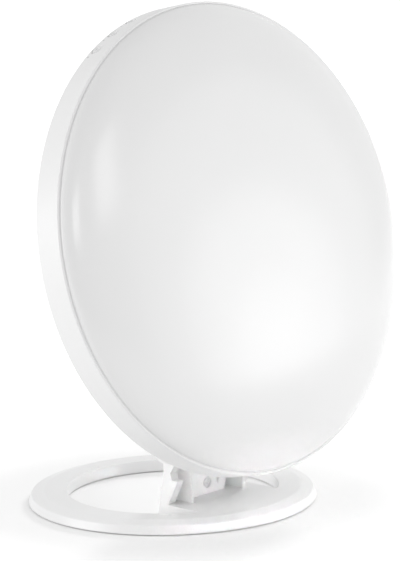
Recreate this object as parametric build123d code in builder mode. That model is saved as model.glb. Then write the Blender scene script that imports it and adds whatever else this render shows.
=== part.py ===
from build123d import *
import os
from math import asin, cos, degrees, radians, sin, sqrt

# Round light therapy lamp on a folding ring stand, in millimetres.
# +Z is up, the lamp faces -Y, and the origin is the centre of the base on the table top.

# ---------------------------------------------------------------- driving dimensions
# Lamp head, along its own axis: the front lip is at depth 0 and depth grows to the back.
lamp_radius = 150.0
rim_depth = 20.0
rim_wall = 2.4
lip_width = 1.5
lip_round = 0.7
lamp_lean = 13.8
lip_height = 33.83
lip_forward = 95.78

lens_gap = 0.5
lens_rise = 22.8
lens_wall = 2.0
lens_seat_depth = 6.0
# how far a Bezier curve's handles reach along the sides of a quarter oval
oval = 0.5523
ledge_width = 9.0
ledge_wall = 1.6

back_flange_width = 7.0
back_flange_wall = 2.0
back_gap = 0.3
back_rise = 6.0
back_wall = 2.0
back_margin = 7.0
spot_face = 0.4

housing_width = 84.0
housing_length = 153.0
housing_inset = 3.7
housing_depth = 18.0
housing_corner = 20.0
housing_wall = 2.4
housing_round = 2.5
housing_screw_inset = 9.0
housing_post_radius = 3.4
plate_post_length = 7.0
pilot_depth = 8.0
driver_pilot_depth = 6.0
housing_screw_end_inset = 11.0
driver_way_gap = 1.5

vent_count = 11
vent_inset = 23.7
vent_length = 20.0
vent_width = 2.4
vent_pitch_angle = 7.0

# Base ring
base_radius = 93.2
base_skirt_slope = 2.0
base_shoulder_height = 6.3
base_band_width = 8.3
base_height = 8.3
base_flat_width = 14.6
base_wall = 2.0
skirt_clearance = 0.8
tongue_half_width = 37.0
tongue_back = 31.0
cover_wall = 2.2
cover_gap = 0.3
ballast_inset = 3.7
ballast_width = 10.0
ballast_gap = 0.2
foot_inset = 5.7
foot_width = 7.0
foot_recess = 0.6
base_screw_count = 6
bracket_screw_spread = 40.0
bracket_screw_pitch = 10.0
bracket_screw_setback = 5.0

# Hinge bracket: distances back from the tongue's end are measured along Y
cheek_outer = 36.0
cheek_wall = 6.0
heel_back = 21.6
heel_top_back = 27.6
heel_top_height = 29.2
wedge_front = 39.7
wedge_height = 24.7
notch_front = 34.8
neck_front = 33.3
bracket_wall = 2.4
bracket_wall_top = 34.0
foot_plate_front = 52.0
foot_plate_half_width = 30.0
rib_inner = 22.5
rib_wall = 2.0
rib_front = 41.0
rib_top = 30.0
panel_front = 31.5
panel_foot_half_width = 15.3
panel_half_width = 20.5
panel_slope_height = 24.0
panel_top = 27.6
panel_recess_radius = 3.8
panel_recess_depth = 1.5
panel_screw_height = 15.8
notch_place = 9.5
notch_width = 4.4
notch_tip_height = 12.6
notch_top_height = 20.0
notch_depth = 1.6

# Hinge
pivot_back = 36.0
pivot_height = 47.0
hinge_head_radius = 9.5
pin_radius = 3.0
running_clearance = 0.05
barrel_radius = 7.0
barrel_web = 8.0
lug_inner = 23.0
washer_wall = 0.6
washer_gap = 0.1
washer_radius = 8.5
bolt_head_radius = 5.0
bolt_head_length = 4.0
bolt_socket = 4.0
spring_washer_wall = 1.2
spring_washer_radius = 7.0
nut_across_flats = 10.0
nut_length = 5.0
bolt_end_length = 0.8
cap_length = 8.6
cap_wall = 1.4
cap_round = 1.2

# Lamp bracket
bracket_plate_wall = 4.0
bracket_plate_inset = 4.5
bracket_plate_length = 30.0
bracket_plate_corner = 4.0
plate_screw_spread = 30.0
plate_screw_inset = 4.0

# Lights and electronics
led_board_margin = 4.0
led_board_wall = 1.6
led_board_depth = 16.0
led_first_ring = 24.0
led_ring_pitch = 28.0
first_ring_led_count = 6
led_edge = 10.0
led_length = 3.5
led_width = 2.8
led_height = 0.8
led_hole_radius = 3.0
tray_wall = 1.0
tray_flange_width = 8.6
tray_slope = 12.0
tray_gap = 0.4
sheet_wall = 1.0
sheet_gap = 0.4
board_post_count = 6
post_radius = 3.6
rear_screw_count = 8
rear_screw_inset = 4.7
rear_post_length = 7.8

driver_width = 66.0
driver_top_gap = 26.0
driver_bracket_gap = 4.5
driver_wall = 1.6
driver_post_length = 9.6
driver_post_spread = 56.0
driver_post_inset = 6.0
coil_radius = 8.0
coil_height = 7.0
capacitor_radius = 4.0
capacitor_height = 8.4
capacitor_pitch = 11.0
chip_length = 6.0
chip_width = 5.0
chip_height = 1.6
chip_pitch = 14.0

inlet_place = 22.0
inlet_nose_radius = 4.2
inlet_body = 9.6
inlet_bore_radius = 3.05
inlet_bore_depth = 10.0
inlet_pin_radius = 1.05
inlet_pin_length = 9.0

# Buttons: their places on the rim, as angles about the lamp's axis from +X
button_names = ("level", "power", "timer")
button_angle = 111.5
button_pitch = 7.0
button_depth = 14.0
button_radius = 2.6
button_dish_radius = 4.0
button_dish_depth = 1.1
button_clearance = 0.2
button_travel = 0.8
button_flange_radius = 3.5
button_flange_wall = 1.0
button_seat_gap = 0.1
button_stem_radius = 1.5
plunger_radius = 0.95
plunger_length = 1.6
switch_body = 4.6
switch_height = 1.8
strip_wall = 0.8
strip_room = 5.8
strip_width = 7.4
strip_curve_gap = 0.05
plunger_spare = 0.15
strip_margin_angle = 3.6
window_radius = 0.8
window_angle = 2.7
window_depth = 16.4
window_length = 6.2
indicator_size = 1.6
indicator_height = 0.6

# Screws
screw_radius = 1.4
screw_head_radius = 2.7
screw_head_height = 1.2
screw_fit = 0.3
screw_slot_width = 0.8
screw_slot_depth = 0.7

# ---------------------------------------------------------------- planes worked out from them
lean = radians(lamp_lean)
lamp_height = lip_height + lamp_radius * cos(lean)
lamp_forward = lip_forward - lamp_radius * sin(lean)
lamp = Plane(
    origin=(0, -lamp_forward, lamp_height),
    x_dir=(1, 0, 0),
    z_dir=(0, -cos(lean), sin(lean)),
)
lamp_axis = Axis(lamp.origin, lamp.z_dir)
# Half sections through the lamp: x is the radius, y runs forwards along the axis
lamp_section = Plane(origin=lamp.origin, x_dir=lamp.x_dir, z_dir=-lamp.y_dir)
# Side view of the lamp: x is height along the disc, y runs forwards, the normal is +X
lamp_side = Plane(origin=lamp.origin, x_dir=lamp.y_dir, z_dir=lamp.x_dir)
# Side view of the base: x runs forwards to -Y, y is up, the normal is -X
base_side = Plane(origin=(0, 0, 0), x_dir=(0, -1, 0), z_dir=(-1, 0, 0))

pivot = Vector(0, -pivot_back, pivot_height)
pivot_in_lamp = lamp.to_local_coords(pivot)
pivot_up = pivot_in_lamp.Y
pivot_forward = pivot_in_lamp.Z

housing_face = -rim_depth - housing_depth
housing_floor = housing_face + housing_wall
led_board_back = -led_board_depth - led_board_wall
lens_radius = lamp_radius - lip_width - lens_gap
rim_inner = lamp_radius - rim_wall
ledge_radius = rim_inner - ledge_width
back_radius = lamp_radius - back_flange_width - back_gap
back_plate_inner = -rim_depth + back_wall
tray_radius = lamp_radius - back_flange_width - tray_gap
tray_flange_radius = tray_radius - tray_flange_width
tray_floor_radius = tray_flange_radius - tray_slope
led_board_radius = tray_floor_radius + led_board_margin
board_post_radius = led_first_ring + 2.5 * led_ring_pitch
rear_screw_radius = back_radius - rear_screw_inset
strip_reach = rim_inner - strip_room
housing_bottom = back_radius - housing_inset
housing_top = housing_length - housing_bottom
bracket_plate_low = housing_bottom - bracket_plate_inset
bracket_plate_high = bracket_plate_low - bracket_plate_length
driver_low = bracket_plate_high - driver_bracket_gap
driver_high = driver_top_gap - housing_top
inlet_low = driver_low - inlet_place
cheek_inner = cheek_outer - cheek_wall
lug_outer = cheek_inner - washer_wall - 2 * washer_gap


def lamp_point_plane(x, y, forward, facing=1):
    """Plane square to the lamp's axis at a place on the disc, facing forwards or backwards."""
    origin = lamp.from_local_coords(Vector(x, y, forward))
    return Plane(origin=origin, x_dir=lamp.x_dir, z_dir=lamp.z_dir * facing)


def rim_plane(angle, reach, depth=button_depth):
    """Plane square to a radius of the lamp, at an angle on the rim and a distance from its axis."""
    out = lamp.x_dir * cos(radians(angle)) + lamp.y_dir * sin(radians(angle))
    origin = lamp.origin + out * reach - lamp.z_dir * depth
    return Plane(origin=origin, x_dir=lamp.z_dir, z_dir=out)


def spoke_plane(radius, angle, forward):
    """Plane square to the lamp's axis, on a spoke of the disc, whose x runs outwards."""
    turn = radians(angle)
    origin = lamp.from_local_coords(Vector(radius * cos(turn), radius * sin(turn), forward))
    out = lamp.x_dir * cos(turn) + lamp.y_dir * sin(turn)
    return Plane(origin=origin, x_dir=out, z_dir=lamp.z_dir)


def ring_places(radius, count, first=0.0):
    """Places evenly round a circle, as x and y."""
    step = 360.0 / count
    angles = [radians(first + step * i) for i in range(count)]
    return [(radius * cos(a), radius * sin(a)) for a in angles]


def disc(plane, radius):
    """A round face that lies on a plane."""
    with BuildSketch(plane) as face:
        Circle(radius)
    return face.sketch


def add_screw(head_top, length, head_radius=screw_head_radius):
    """A pan-head screw with a cross recess that points down from the plane of its head's top."""
    extrude(disc(head_top, head_radius), amount=-screw_head_height)
    extrude(disc(head_top.offset(-screw_head_height), screw_radius), amount=-length)
    with BuildSketch(head_top) as cross:
        Rectangle(head_radius * 1.2, screw_slot_width)
        Rectangle(screw_slot_width, head_radius * 1.2)
    extrude(cross.sketch, amount=-screw_slot_depth, mode=Mode.SUBTRACT)


def cut_hole(plane, radius, depth):
    """A round hole that goes down from a plane."""
    extrude(disc(plane, radius), amount=-depth, mode=Mode.SUBTRACT)


def add_post(plane, radius, length):
    """A round post that stands up from a plane."""
    extrude(disc(plane, radius), amount=length)


def cut_screw_seat(head_top, head_depth, through):
    """A clearance hole with a counterbore for a screw's head."""
    cut_hole(head_top, screw_head_radius + screw_fit, head_depth)
    cut_hole(head_top, screw_radius + screw_fit, through)


os.makedirs("parts", exist_ok=True)

# ---------------------------------------------------------------- base
base_bottom = Plane.XY.offset(skirt_clearance)
cover_top = skirt_clearance + cover_wall
base_shoulder_radius = base_radius - base_skirt_slope
base_flat_radius = base_shoulder_radius - base_band_width
base_bore_radius = base_flat_radius - base_flat_width
ballast_bore_radius = base_bore_radius + ballast_inset
ballast_radius = ballast_bore_radius + ballast_width
foot_bore_radius = base_bore_radius + foot_inset
foot_radius = foot_bore_radius + foot_width
skirt_lean = (base_radius - base_shoulder_radius) / (base_shoulder_height - base_wall - skirt_clearance)
cover_radius = base_radius - base_wall - skirt_lean * cover_wall - cover_gap
under_deck = base_height - base_wall
base_screw_radius = (ballast_radius + base_shoulder_radius - base_wall) / 2
base_screw_places = ring_places(base_screw_radius, base_screw_count, 180 / base_screw_count)
base_screw_seat = skirt_clearance + 0.1
bracket_screw_front = foot_plate_front - bracket_screw_setback
bracket_screw_places = [
    (side * bracket_screw_spread / 2, -bracket_screw_front + row * bracket_screw_pitch)
    for side in (-1, 1)
    for row in (0, 1)
]

with BuildPart() as base_ring:
    with BuildSketch(base_bottom):
        with Locations((0, -(tongue_back + base_bore_radius + base_wall) / 2)):
            Rectangle(2 * tongue_half_width, base_bore_radius + base_wall - tongue_back)
        Circle(base_bore_radius + base_wall / 2, mode=Mode.INTERSECT)
    extrude(amount=base_height - skirt_clearance)
    with BuildSketch(base_bottom):
        with Locations((0, -(tongue_back + base_bore_radius) / 2)):
            Rectangle(2 * (tongue_half_width - base_wall), base_bore_radius - tongue_back)
        Circle(base_bore_radius, mode=Mode.INTERSECT)
    extrude(amount=under_deck - skirt_clearance, mode=Mode.SUBTRACT)
    with BuildSketch(Plane.XZ):
        with BuildLine():
            FilletPolyline(
                (base_radius, skirt_clearance),
                (base_shoulder_radius, base_shoulder_height),
                (base_flat_radius, base_height),
                (base_bore_radius, base_height),
                (base_bore_radius, skirt_clearance),
                (base_bore_radius + base_wall, skirt_clearance),
                (base_bore_radius + base_wall, under_deck),
                (base_flat_radius, under_deck),
                (base_shoulder_radius - base_wall, base_shoulder_height - base_wall),
                (base_radius - base_wall, skirt_clearance),
                radius=(0.3, 1.5, 5.0, 0.6, 0, 0, 0, 0, 0, 0),
                close=True,
            )
        make_face()
    revolve(axis=Axis.Z)
    for x, y in base_screw_places:
        add_post(Plane(origin=(x, y, cover_top)), screw_radius + 1.2, under_deck - cover_top)
        cut_hole(Plane(origin=(x, y, cover_top + 2.2)), screw_radius, 2.2)
base_ring.part.label = "base_ring"
export_step(base_ring.part, "parts/base_ring.step")

with BuildPart() as base_cover:
    with BuildSketch(base_bottom):
        Circle(cover_radius)
        Circle(base_bore_radius + base_wall + cover_gap, mode=Mode.SUBTRACT)
    extrude(amount=cover_wall)
    with BuildSketch(base_bottom):
        Circle(foot_radius)
        Circle(foot_bore_radius, mode=Mode.SUBTRACT)
    extrude(amount=foot_recess, mode=Mode.SUBTRACT)
    for x, y in base_screw_places:
        seat = Plane(origin=(x, y, skirt_clearance), x_dir=(1, 0, 0), z_dir=(0, 0, -1))
        cut_screw_seat(seat, screw_head_height + 0.1, cover_wall)
base_cover.part.label = "base_cover"
export_step(base_cover.part, "parts/base_cover.step")

with BuildPart() as base_screws:
    for x, y in base_screw_places:
        head = Plane(origin=(x, y, base_screw_seat), x_dir=(1, 0, 0), z_dir=(0, 0, -1))
        add_screw(head, cover_wall + 0.6)
base_screws.part.label = "base_screws"
export_step(base_screws.part, "parts/base_screws.step")

with BuildPart() as base_ballast:
    with BuildSketch(Plane.XY.offset(cover_top)):
        Circle(ballast_radius)
        Circle(ballast_bore_radius, mode=Mode.SUBTRACT)
    extrude(amount=under_deck - cover_top - ballast_gap)
base_ballast.part.label = "base_ballast"
export_step(base_ballast.part, "parts/base_ballast.step")

with BuildPart() as non_slip_ring:
    with BuildSketch(Plane.XY):
        Circle(foot_radius)
        Circle(foot_bore_radius, mode=Mode.SUBTRACT)
    extrude(amount=skirt_clearance + foot_recess)
non_slip_ring.part.label = "non_slip_ring"
export_step(non_slip_ring.part, "parts/non_slip_ring.step")

# ---------------------------------------------------------------- hinge bracket
heel_lean = (heel_top_back - heel_back) / (heel_top_height - skirt_clearance)


def heel_line(height, inset=0.0):
    """How far forward the bracket's sloping back stands at a height."""
    return heel_back + inset + heel_lean * (height - skirt_clearance)


with BuildPart() as hinge_bracket:
    for side in (-1, 1):
        edge = cheek_outer if side < 0 else -cheek_inner
        with BuildSketch(base_side.offset(edge)):
            with BuildLine():
                Polyline(
                    (heel_back, skirt_clearance),
                    (heel_top_back, heel_top_height),
                    (pivot_back - hinge_head_radius, pivot_height),
                    (pivot_back + hinge_head_radius, pivot_height),
                    (neck_front, heel_top_height),
                    (notch_front, wedge_height),
                    (wedge_front, wedge_height),
                    (tongue_back, base_height),
                    (tongue_back, skirt_clearance),
                    close=True,
                )
            make_face()
            with Locations((pivot_back, pivot_height)):
                Circle(hinge_head_radius)
        extrude(amount=-cheek_wall)
        rib_edge = rib_inner + rib_wall if side < 0 else -rib_inner
        with BuildSketch(base_side.offset(rib_edge)):
            with BuildLine():
                Polyline(
                    (heel_line(base_height, bracket_wall / 2), base_height),
                    (heel_line(rib_top, bracket_wall / 2), rib_top),
                    (rib_front, rib_top),
                    (rib_front, base_height),
                    close=True,
                )
            make_face()
        extrude(amount=-rib_wall)
    with BuildSketch(base_side.offset(cheek_inner)):
        with BuildLine():
            Polyline(
                (heel_line(skirt_clearance), skirt_clearance),
                (heel_line(bracket_wall_top), bracket_wall_top),
                (heel_line(bracket_wall_top, bracket_wall), bracket_wall_top),
                (heel_line(skirt_clearance, bracket_wall), skirt_clearance),
                close=True,
            )
        make_face()
    extrude(amount=-2 * cheek_inner)
    # foot plate under the tongue's deck, and the sill that closes the tongue's open end
    with BuildSketch(Plane.XY.offset(cover_top)):
        with Locations((0, -(heel_back + foot_plate_front) / 2 - bracket_wall / 2)):
            Rectangle(2 * foot_plate_half_width, foot_plate_front - heel_back - bracket_wall)
    extrude(amount=under_deck - cover_top)
    with BuildSketch(Plane.XY.offset(under_deck)):
        with Locations((0, -(heel_back + bracket_wall + tongue_back) / 2)):
            Rectangle(2 * cheek_inner, tongue_back - heel_back - bracket_wall)
    extrude(amount=base_height - under_deck)
    for x, y in bracket_screw_places:
        cut_hole(Plane(origin=(x, y, under_deck - 0.6)), screw_radius, base_wall + 2)
    cut_hole(
        Plane(origin=(0, -tongue_back, panel_screw_height), x_dir=(1, 0, 0), z_dir=(0, -1, 0)),
        screw_radius,
        tongue_back - heel_line(panel_screw_height, 0.6),
    )
    bolt_way = base_side.offset(cheek_outer)
    with BuildSketch(bolt_way):
        with Locations((pivot_back, pivot_height)):
            Circle(pin_radius + running_clearance)
    extrude(amount=-2 * cheek_outer, mode=Mode.SUBTRACT)
hinge_bracket.part.label = "hinge_bracket"
export_step(hinge_bracket.part, "parts/hinge_bracket.step")

with BuildPart() as tongue_cover:
    with BuildSketch(base_bottom):
        with Locations((0, -(heel_line(cover_top, bracket_wall + cover_gap) + foot_plate_front) / 2)):
            Rectangle(
                2 * (cheek_inner - cover_gap),
                foot_plate_front - heel_line(cover_top, bracket_wall + cover_gap),
            )
    extrude(amount=cover_wall)
    for x, y in bracket_screw_places:
        seat = Plane(origin=(x, y, skirt_clearance), x_dir=(1, 0, 0), z_dir=(0, 0, -1))
        cut_screw_seat(seat, screw_head_height + 0.1, cover_wall)
tongue_cover.part.label = "tongue_cover"
export_step(tongue_cover.part, "parts/tongue_cover.step")

with BuildPart() as bracket_screws:
    for x, y in bracket_screw_places:
        head = Plane(origin=(x, y, base_screw_seat), x_dir=(1, 0, 0), z_dir=(0, 0, -1))
        add_screw(head, cover_wall + 1.2)
bracket_screws.part.label = "bracket_screws"
export_step(bracket_screws.part, "parts/bracket_screws.step")

panel_plane = Plane(origin=(0, -panel_front, 0), x_dir=(1, 0, 0), z_dir=(0, -1, 0))
panel_screw_plane = Plane(
    origin=(0, -panel_front, panel_screw_height), x_dir=(1, 0, 0), z_dir=(0, -1, 0)
)

with BuildPart() as bracket_cover:
    with BuildSketch(base_side.offset(panel_half_width)):
        with BuildLine():
            Polyline(
                (heel_line(base_height, bracket_wall), base_height),
                (heel_line(panel_top, bracket_wall), panel_top),
                (panel_front, panel_top),
                (panel_front, base_height),
                close=True,
            )
        make_face()
    extrude(amount=-2 * panel_half_width)
    with BuildSketch(panel_plane):
        with BuildLine():
            FilletPolyline(
                (-panel_foot_half_width, base_height),
                (panel_foot_half_width, base_height),
                (panel_half_width, panel_slope_height),
                (panel_half_width, panel_top),
                (-panel_half_width, panel_top),
                (-panel_half_width, panel_slope_height),
                radius=(0, 0, 3, 1, 1, 3),
                close=True,
            )
        make_face()
    extrude(amount=-panel_front, mode=Mode.INTERSECT)
    cut_hole(panel_screw_plane, panel_recess_radius, panel_recess_depth)
    cut_hole(panel_screw_plane, screw_radius + screw_fit, panel_front)
    with BuildSketch(panel_plane):
        with BuildLine():
            Polyline(
                (notch_place, notch_tip_height),
                (notch_place + notch_width / 2, notch_top_height),
                (notch_place - notch_width / 2, notch_top_height),
                close=True,
            )
        make_face()
    extrude(amount=-notch_depth, mode=Mode.SUBTRACT)
bracket_cover.part.label = "bracket_cover"
export_step(bracket_cover.part, "parts/bracket_cover.step")

with BuildPart() as bracket_cover_screw:
    panel_screw_top = panel_screw_plane.offset(screw_head_height - panel_recess_depth)
    wall_bite = panel_front - panel_recess_depth - heel_line(panel_screw_height, 0.8)
    add_screw(panel_screw_top, wall_bite)
bracket_cover_screw.part.label = "bracket_cover_screw"
export_step(bracket_cover_screw.part, "parts/bracket_cover_screw.step")

# ---------------------------------------------------------------- hinge hardware
with BuildPart() as hinge_pin:
    with BuildSketch(base_side.offset(cheek_outer)):
        with Locations((pivot_back, pivot_height)):
            Circle(pin_radius)
    pin_length = 2 * cheek_outer + spring_washer_wall + nut_length + bolt_end_length
    extrude(amount=-pin_length)
    with BuildSketch(base_side.offset(cheek_outer)):
        with Locations((pivot_back, pivot_height)):
            Circle(bolt_head_radius)
    extrude(amount=bolt_head_length)
    fillet(hinge_pin.faces().sort_by(Axis.X)[0].edges(), 1.0)
    with BuildSketch(base_side.offset(cheek_outer + bolt_head_length)):
        with Locations((pivot_back, pivot_height)):
            RegularPolygon(bolt_socket / 2, 6, major_radius=False)
    extrude(amount=-bolt_head_length / 2, mode=Mode.SUBTRACT)
hinge_pin.part.label = "hinge_pin"
export_step(hinge_pin.part, "parts/hinge_pin.step")

with BuildPart() as spring_washer:
    with BuildSketch(base_side.offset(-cheek_outer)):
        with Locations((pivot_back, pivot_height)):
            Circle(spring_washer_radius)
            Circle(pin_radius + running_clearance, mode=Mode.SUBTRACT)
    extrude(amount=-spring_washer_wall)
spring_washer.part.label = "spring_washer"
export_step(spring_washer.part, "parts/spring_washer.step")

with BuildPart() as hinge_nut:
    with BuildSketch(base_side.offset(-cheek_outer - spring_washer_wall)):
        with Locations((pivot_back, pivot_height)):
            RegularPolygon(nut_across_flats / 2, 6, major_radius=False)
            Circle(pin_radius, mode=Mode.SUBTRACT)
    extrude(amount=-nut_length)
hinge_nut.part.label = "hinge_nut"
export_step(hinge_nut.part, "parts/hinge_nut.step")

with BuildPart() as friction_washers:
    for face in (cheek_inner - washer_gap, -cheek_inner + washer_gap + washer_wall):
        with BuildSketch(base_side.offset(face)):
            with Locations((pivot_back, pivot_height)):
                Circle(washer_radius)
                Circle(pin_radius + running_clearance, mode=Mode.SUBTRACT)
        extrude(amount=-washer_wall)
friction_washers.part.label = "friction_washers"
export_step(friction_washers.part, "parts/friction_washers.step")

for name, side in (("hinge_cap_left", 1), ("hinge_cap_right", -1)):
    with BuildPart() as hinge_cap:
        with BuildSketch(base_side.offset(side * cheek_outer)):
            with Locations((pivot_back, pivot_height)):
                Circle(hinge_head_radius)
        extrude(amount=side * cap_length)
        outer_face = hinge_cap.faces().sort_by(Axis.X)[0 if side > 0 else -1]
        fillet(outer_face.edges(), cap_round)
        with BuildSketch(base_side.offset(side * cheek_outer)):
            with Locations((pivot_back, pivot_height)):
                Circle(hinge_head_radius - cap_wall)
        extrude(amount=side * (cap_length - cap_wall), mode=Mode.SUBTRACT)
    hinge_cap.part.label = name
    export_step(hinge_cap.part, f"parts/{name}.step")

# ---------------------------------------------------------------- lamp bracket
bracket_face = housing_face - bracket_plate_wall
plate_screw_rows = (-bracket_plate_low + plate_screw_inset, -bracket_plate_high - plate_screw_inset)
plate_screw_places = [(side * plate_screw_spread / 2, y) for side in (-1, 1) for y in plate_screw_rows]

with BuildPart() as lamp_bracket:
    with BuildSketch(lamp.offset(bracket_face)):
        with Locations((0, -(bracket_plate_low + bracket_plate_high) / 2)):
            RectangleRounded(2 * lug_outer, bracket_plate_low - bracket_plate_high, bracket_plate_corner)
    extrude(amount=bracket_plate_wall)
    for start in (lug_inner, -lug_outer):
        with BuildSketch(lamp_side.offset(start)):
            with BuildLine():
                Polyline(
                    (pivot_up - hinge_head_radius, pivot_forward),
                    (pivot_up + hinge_head_radius, pivot_forward),
                    (-bracket_plate_high - bracket_plate_corner, bracket_face + 1),
                    (-bracket_plate_low + bracket_plate_corner / 2, bracket_face + 1),
                    close=True,
                )
            make_face()
            with Locations((pivot_up, pivot_forward)):
                Circle(hinge_head_radius)
        extrude(amount=lug_outer - lug_inner)
    with BuildSketch(lamp_side.offset(-lug_inner)):
        with Locations((pivot_up, pivot_forward)):
            Circle(barrel_radius)
        with Locations((pivot_up, (pivot_forward + bracket_face + 1) / 2)):
            Rectangle(barrel_web, bracket_face + 1 - pivot_forward)
    extrude(amount=2 * lug_inner)
    with BuildSketch(lamp_side.offset(-lug_outer)):
        with Locations((pivot_up, pivot_forward)):
            Circle(pin_radius + running_clearance)
    extrude(amount=2 * lug_outer, mode=Mode.SUBTRACT)
    for x, y in plate_screw_places:
        cut_hole(lamp_point_plane(x, y, bracket_face, -1), screw_radius + screw_fit, bracket_plate_wall)
lamp_bracket.part.label = "lamp_bracket"
export_step(lamp_bracket.part, "parts/lamp_bracket.step")

with BuildPart() as lamp_bracket_screws:
    for x, y in plate_screw_places:
        head = lamp_point_plane(x, y, bracket_face - screw_head_height, -1)
        add_screw(head, bracket_plate_wall + housing_wall + 4)
lamp_bracket_screws.part.label = "lamp_bracket_screws"
export_step(lamp_bracket_screws.part, "parts/lamp_bracket_screws.step")

# ---------------------------------------------------------------- rear shell
back_flat_radius = back_radius - back_margin
vent_radius = back_flat_radius - vent_inset
back_curve = (back_flat_radius**2 + back_rise**2) / (2 * back_rise)
back_half_angle = degrees(asin(back_flat_radius / back_curve))
# the lowest place of the ring is left out, because the housing covers it
rear_screw_angles = [360 / rear_screw_count * i for i in range(rear_screw_count)]
rear_screw_angles = [a for a in rear_screw_angles if sin(radians(a)) > -0.9]
rear_screw_places = [
    (rear_screw_radius * cos(radians(a)), rear_screw_radius * sin(radians(a))) for a in rear_screw_angles
]
board_screw_places = ring_places(board_post_radius, board_post_count)
driver_post_places = [
    (x, y)
    for x in (-driver_post_spread / 2, driver_post_spread / 2)
    for y in (-driver_low + driver_post_inset, -driver_high - driver_post_inset)
]
driver_back = housing_floor + driver_post_length

housing_centre = (0, (housing_top - housing_bottom) / 2)
housing_screw_places = [
    (side * (housing_width / 2 - housing_screw_inset), y)
    for side in (-1, 1)
    for y in (housing_top - housing_screw_end_inset, -housing_bottom + housing_screw_end_inset)
]


def back_profile(thickness):
    """Half section of the dished back plate: a shallow arc to a flat edge, as thick as asked."""
    centre = -rim_depth - back_rise + back_curve
    CenterArc((0, centre), back_curve, -90, back_half_angle)
    Polyline(
        (back_flat_radius, -rim_depth),
        (back_radius, -rim_depth),
        (back_radius, -rim_depth + thickness),
        (back_flat_radius, -rim_depth + thickness),
    )
    CenterArc((0, centre + thickness), back_curve, -90, back_half_angle)
    Line((0, -rim_depth - back_rise), (0, -rim_depth - back_rise + thickness))


def plate_back(radius, into=0.0):
    """Depth of the back plate's outer face at a distance from the lamp's axis."""
    if radius > back_flat_radius:
        return -rim_depth + into
    return -rim_depth - back_rise + back_curve - sqrt(back_curve**2 - radius**2) + into


with BuildPart() as rear_shell:
    with BuildSketch(lamp_section):
        with BuildLine():
            back_profile(back_wall)
        make_face()
    revolve(axis=lamp_axis)
    # the way through to the driver, inside the housing's footprint
    with BuildSketch(lamp.offset(-rim_depth - back_rise)):
        with Locations((0, -(driver_low + driver_high) / 2)):
            RectangleRounded(
                driver_width + 2 * driver_way_gap,
                driver_low - driver_high + 2 * driver_way_gap,
                3,
            )
    extrude(amount=back_rise + back_wall, mode=Mode.SUBTRACT)
    for x, y in board_screw_places:
        plate_face = plate_back(board_post_radius, back_wall / 2)
        add_post(lamp_point_plane(x, y, plate_face), post_radius, led_board_back - plate_face)
        cut_hole(lamp_point_plane(x, y, led_board_back), screw_radius, 3.2)
    for x, y in rear_screw_places:
        cut_screw_seat(lamp_point_plane(x, y, -rim_depth, -1), screw_head_height, back_wall)
    for x, y in housing_screw_places:
        seat = plate_back(sqrt(x * x + y * y), back_wall - spot_face)
        cut_hole(lamp_point_plane(x, y, seat + 1), screw_head_radius + screw_fit, 1)
        cut_hole(lamp_point_plane(x, y, seat), screw_radius + screw_fit, back_wall + 1)
    first_vent = 90 - vent_pitch_angle * (vent_count - 1) / 2
    with BuildSketch(lamp.offset(-rim_depth - back_rise)):
        with PolarLocations(vent_radius, vent_count, first_vent, vent_pitch_angle * (vent_count - 1)):
            SlotOverall(vent_length, vent_width)
    extrude(amount=back_rise + back_wall, mode=Mode.SUBTRACT)
rear_shell.part.label = "rear_shell"
export_step(rear_shell.part, "parts/rear_shell.step")

with BuildPart() as driver_housing:
    with BuildSketch(lamp.offset(housing_face)):
        with Locations(housing_centre):
            RectangleRounded(housing_width, housing_length, housing_corner)
    extrude(amount=housing_depth + back_wall)
    fillet(driver_housing.faces().filter_by(lamp_axis).sort_by(lamp_axis)[0].edges(), housing_round)
    with BuildSketch(lamp.offset(housing_floor)):
        with Locations(housing_centre):
            RectangleRounded(
                housing_width - 2 * housing_wall,
                housing_length - 2 * housing_wall,
                housing_corner - housing_wall,
            )
    extrude(amount=housing_depth + back_wall, mode=Mode.SUBTRACT)
    for x, y in plate_screw_places:
        add_post(lamp_point_plane(x, y, housing_floor), post_radius, plate_post_length)
        cut_hole(lamp_point_plane(x, y, housing_face, -1), screw_radius, pilot_depth)
    for x, y in housing_screw_places:
        add_post(lamp_point_plane(x, y, housing_floor), housing_post_radius, housing_depth)
    # the mouth is shaped to the dished plate that it stands on
    with BuildSketch(lamp_section):
        with BuildLine():
            back_profile(2 * housing_depth)
        make_face()
    revolve(axis=lamp_axis, mode=Mode.SUBTRACT)
    for x, y in housing_screw_places:
        face = plate_back(sqrt(x * x + y * y))
        cut_hole(lamp_point_plane(x, y, face + 1), screw_radius, pilot_depth)
    for x, y in driver_post_places:
        add_post(lamp_point_plane(x, y, housing_floor), post_radius, driver_post_length)
        cut_hole(lamp_point_plane(x, y, driver_back), screw_radius, driver_pilot_depth)
    cut_hole(
        lamp_point_plane(0, -inlet_low, housing_face, -1), inlet_nose_radius + 0.1, housing_wall
    )
driver_housing.part.label = "driver_housing"
export_step(driver_housing.part, "parts/driver_housing.step")

with BuildPart() as housing_screws:
    for x, y in housing_screw_places:
        seat = plate_back(sqrt(x * x + y * y), back_wall - spot_face)
        add_screw(lamp_point_plane(x, y, seat + screw_head_height), back_wall + 4)
housing_screws.part.label = "housing_screws"
export_step(housing_screws.part, "parts/housing_screws.step")

with BuildPart() as rear_shell_screws:
    for x, y in rear_screw_places:
        add_screw(lamp_point_plane(x, y, -rim_depth, -1), back_wall + 3)
rear_shell_screws.part.label = "rear_shell_screws"
export_step(rear_shell_screws.part, "parts/rear_shell_screws.step")

# ---------------------------------------------------------------- rim, lens and sheets
button_angles = [button_angle + button_pitch * (i - 1) for i in range(len(button_names))]
strip_start = button_angles[0] - strip_margin_angle
strip_sweep = button_angles[-1] + strip_margin_angle - strip_start

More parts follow.
